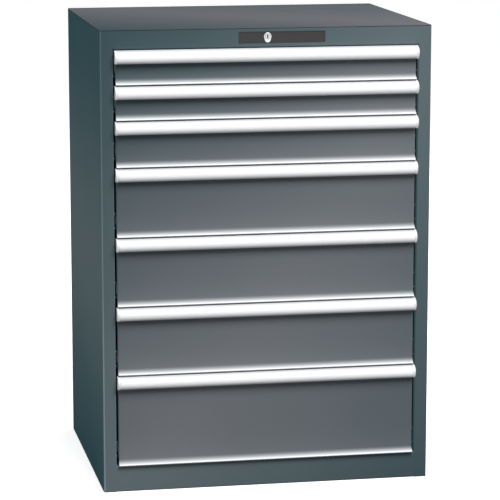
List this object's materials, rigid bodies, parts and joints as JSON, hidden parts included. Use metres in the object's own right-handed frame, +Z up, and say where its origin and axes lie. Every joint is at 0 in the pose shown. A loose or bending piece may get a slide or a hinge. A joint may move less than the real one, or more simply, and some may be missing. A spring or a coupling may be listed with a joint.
{
  "type": "workshop drawer cabinet",
  "caption": "Steel workshop drawer cabinet with lockable full-extension drawers of graded height, each with a full-width grip strip.",
  "frame": {"origin": "on the floor, under the middle of the whole box, grip strips included", "axes": "+X to the right seen from the front, +Y to the back, +Z up; the drawers open towards -Y"},
  "size_m": [0.717, 0.59, 1],
  "materials": {
    "housing_paint": "fine-textured satin powder coat",
    "front_paint": "fine-textured satin powder coat",
    "tray_paint": "satin powder coat",
    "zinc_steel": "zinc-plated sheet",
    "grip_aluminium": "bright satin anodised",
    "cap_plastic": "satin moulded",
    "roller_plastic": "moulded",
    "lock_plate_black": "satin",
    "lock_chrome": "polished"
  },
  "bodies": {
    "housing": {"side_panel_left": "housing_paint", "side_panel_right": "housing_paint", "back_panel": "housing_paint", "top_panel": "housing_paint", "front_top_rail": "housing_paint", "front_plinth": "housing_paint", "base_panel": "housing_paint", "slotted_posts": "zinc_steel", "cabinet_rails": "zinc_steel", "lock_plate": "lock_plate_black", "lock_cylinder": "lock_chrome", "lock_guides": "zinc_steel", "rod_bearing": "zinc_steel"},
    "drawer_1": {"drawer_1_tray": "tray_paint", "drawer_1_front": "front_paint", "drawer_1_handle": "grip_aluminium", "drawer_1_end_caps": "cap_plastic"},
    "slide_1": {"slide_1_rails": "zinc_steel", "slide_1_rollers": "roller_plastic"},
    "drawer_2": {"drawer_2_tray": "tray_paint", "drawer_2_front": "front_paint", "drawer_2_handle": "grip_aluminium", "drawer_2_end_caps": "cap_plastic"},
    "slide_2": {"slide_2_rails": "zinc_steel", "slide_2_rollers": "roller_plastic"},
    "drawer_3": {"drawer_3_tray": "tray_paint", "drawer_3_front": "front_paint", "drawer_3_handle": "grip_aluminium", "drawer_3_end_caps": "cap_plastic"},
    "slide_3": {"slide_3_rails": "zinc_steel", "slide_3_rollers": "roller_plastic"},
    "drawer_4": {"drawer_4_tray": "tray_paint", "drawer_4_front": "front_paint", "drawer_4_handle": "grip_aluminium", "drawer_4_end_caps": "cap_plastic"},
    "slide_4": {"slide_4_rails": "zinc_steel", "slide_4_rollers": "roller_plastic"},
    "drawer_5": {"drawer_5_tray": "tray_paint", "drawer_5_front": "front_paint", "drawer_5_handle": "grip_aluminium", "drawer_5_end_caps": "cap_plastic"},
    "slide_5": {"slide_5_rails": "zinc_steel", "slide_5_rollers": "roller_plastic"},
    "drawer_6": {"drawer_6_tray": "tray_paint", "drawer_6_front": "front_paint", "drawer_6_handle": "grip_aluminium", "drawer_6_end_caps": "cap_plastic"},
    "slide_6": {"slide_6_rails": "zinc_steel", "slide_6_rollers": "roller_plastic"},
    "drawer_7": {"drawer_7_tray": "tray_paint", "drawer_7_front": "front_paint", "drawer_7_handle": "grip_aluminium", "drawer_7_end_caps": "cap_plastic"},
    "slide_7": {"slide_7_rails": "zinc_steel", "slide_7_rollers": "roller_plastic"},
    "lock_core": {"lock_plug": "lock_chrome", "lock_rod": "zinc_steel"},
    "lock_bar": {"lock_bar": "zinc_steel"}
  },
  "joints": [
    {"name": "drawer_1_slide", "type": "slide", "parent": "housing", "child": "drawer_1", "axis": [0, -1, 0], "range_m": [0, 0.46]},
    {"name": "slide_1_travel", "type": "slide", "parent": "housing", "child": "slide_1", "axis": [0, -1, 0], "range_m": [0, 0.23]},
    {"name": "drawer_2_slide", "type": "slide", "parent": "housing", "child": "drawer_2", "axis": [0, -1, 0], "range_m": [0, 0.46]},
    {"name": "slide_2_travel", "type": "slide", "parent": "housing", "child": "slide_2", "axis": [0, -1, 0], "range_m": [0, 0.23]},
    {"name": "drawer_3_slide", "type": "slide", "parent": "housing", "child": "drawer_3", "axis": [0, -1, 0], "range_m": [0, 0.46]},
    {"name": "slide_3_travel", "type": "slide", "parent": "housing", "child": "slide_3", "axis": [0, -1, 0], "range_m": [0, 0.23]},
    {"name": "drawer_4_slide", "type": "slide", "parent": "housing", "child": "drawer_4", "axis": [0, -1, 0], "range_m": [0, 0.46]},
    {"name": "slide_4_travel", "type": "slide", "parent": "housing", "child": "slide_4", "axis": [0, -1, 0], "range_m": [0, 0.23]},
    {"name": "drawer_5_slide", "type": "slide", "parent": "housing", "child": "drawer_5", "axis": [0, -1, 0], "range_m": [0, 0.46]},
    {"name": "slide_5_travel", "type": "slide", "parent": "housing", "child": "slide_5", "axis": [0, -1, 0], "range_m": [0, 0.23]},
    {"name": "drawer_6_slide", "type": "slide", "parent": "housing", "child": "drawer_6", "axis": [0, -1, 0], "range_m": [0, 0.46]},
    {"name": "slide_6_travel", "type": "slide", "parent": "housing", "child": "slide_6", "axis": [0, -1, 0], "range_m": [0, 0.23]},
    {"name": "drawer_7_slide", "type": "slide", "parent": "housing", "child": "drawer_7", "axis": [0, -1, 0], "range_m": [0, 0.46]},
    {"name": "slide_7_travel", "type": "slide", "parent": "housing", "child": "slide_7", "axis": [0, -1, 0], "range_m": [0, 0.23]},
    {"name": "lock_bar_lift", "type": "slide", "parent": "housing", "child": "lock_bar", "axis": [0, 0, 1], "range_m": [0, 0.01131]},
    {"name": "lock_turn", "type": "hinge", "parent": "housing", "child": "lock_core", "pos_m": [0, -0.277, 0.981], "axis": [0, -1, 0], "range_deg": [0, 90.2]}
  ],
  "couplings": [
    {"joint": "slide_1_travel", "follows": "drawer_1_slide", "ratio": 0.5},
    {"joint": "slide_2_travel", "follows": "drawer_2_slide", "ratio": 0.5},
    {"joint": "slide_3_travel", "follows": "drawer_3_slide", "ratio": 0.5},
    {"joint": "slide_4_travel", "follows": "drawer_4_slide", "ratio": 0.5},
    {"joint": "slide_5_travel", "follows": "drawer_5_slide", "ratio": 0.5},
    {"joint": "slide_6_travel", "follows": "drawer_6_slide", "ratio": 0.5},
    {"joint": "slide_7_travel", "follows": "drawer_7_slide", "ratio": 0.5},
    {"joint": "lock_turn", "follows": "lock_bar_lift", "rad_per_m": 138.84}
  ]
}
